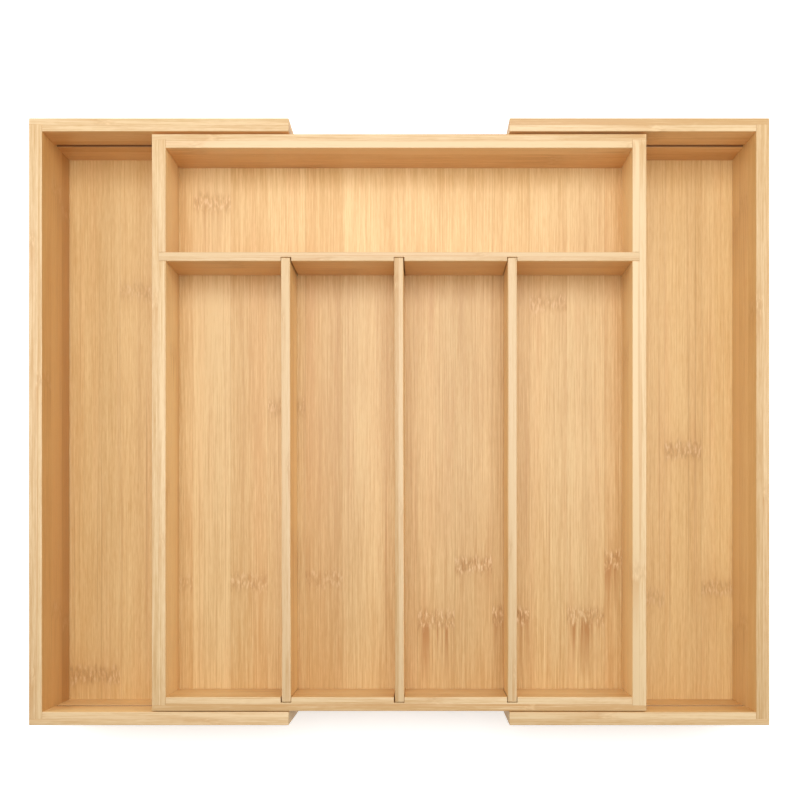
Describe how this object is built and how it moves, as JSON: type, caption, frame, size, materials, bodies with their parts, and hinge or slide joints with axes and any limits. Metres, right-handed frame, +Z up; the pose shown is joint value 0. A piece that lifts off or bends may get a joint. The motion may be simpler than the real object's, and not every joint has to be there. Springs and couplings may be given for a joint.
{
  "type": "drawer organizer insert",
  "caption": "Expandable bamboo drawer tray with cross and long dividers, and side wings that slide out in grooves to fill the drawer's width.",
  "frame": {"origin": "middle of the underside, where the wings rest on the drawer bottom, with both wings drawn out 78 mm", "axes": "+X to the right along the wings' slide, +Y to the back of the drawer, +Z up"},
  "size_m": [0.527, 0.432, 0.064],
  "materials": {
    "tray_bamboo": "satin clear lacquer on laminated bamboo boards",
    "wing_bamboo": "satin clear lacquer on laminated bamboo boards",
    "panel_bamboo": "satin clear lacquer on edge-glued flat bamboo strips",
    "dark_bamboo": "satin clear lacquer on bamboo strip",
    "brad_steel": "bright drawn wire, headed"
  },
  "bodies": {
    "tray": {"tray_left_wall": "tray_bamboo", "tray_right_wall": "tray_bamboo", "tray_back_wall": "tray_bamboo", "tray_front_wall": "tray_bamboo", "tray_floor": "panel_bamboo", "cross_divider": "tray_bamboo", "back_left_runner": "dark_bamboo", "back_right_runner": "dark_bamboo", "front_left_runner": "dark_bamboo", "front_right_runner": "dark_bamboo", "tray_brads": "brad_steel"},
    "left_divider": {"left_divider": "dark_bamboo"},
    "middle_divider": {"middle_divider": "dark_bamboo"},
    "right_divider": {"right_divider": "dark_bamboo"},
    "left_wing": {"left_end_wall": "wing_bamboo", "left_back_arm": "wing_bamboo", "left_front_arm": "wing_bamboo", "left_wing_floor": "panel_bamboo", "left_wing_brads": "brad_steel"},
    "right_wing": {"right_end_wall": "wing_bamboo", "right_back_arm": "wing_bamboo", "right_front_arm": "wing_bamboo", "right_wing_floor": "panel_bamboo", "right_wing_brads": "brad_steel"}
  },
  "joints": [
    {"name": "left_wing_slide", "type": "slide", "parent": "tray", "child": "left_wing", "axis": [-1, 0, 0], "range_m": [-0.0775, 0.006]},
    {"name": "right_wing_slide", "type": "slide", "parent": "tray", "child": "right_wing", "axis": [1, 0, 0], "range_m": [-0.0775, 0.006]},
    {"name": "left_divider_lift", "type": "slide", "parent": "tray", "child": "left_divider", "axis": [0, 0, 1], "range_m": [0, 0.05]},
    {"name": "middle_divider_lift", "type": "slide", "parent": "tray", "child": "middle_divider", "axis": [0, 0, 1], "range_m": [0, 0.05]},
    {"name": "right_divider_lift", "type": "slide", "parent": "tray", "child": "right_divider", "axis": [0, 0, 1], "range_m": [0, 0.05]}
  ]
}
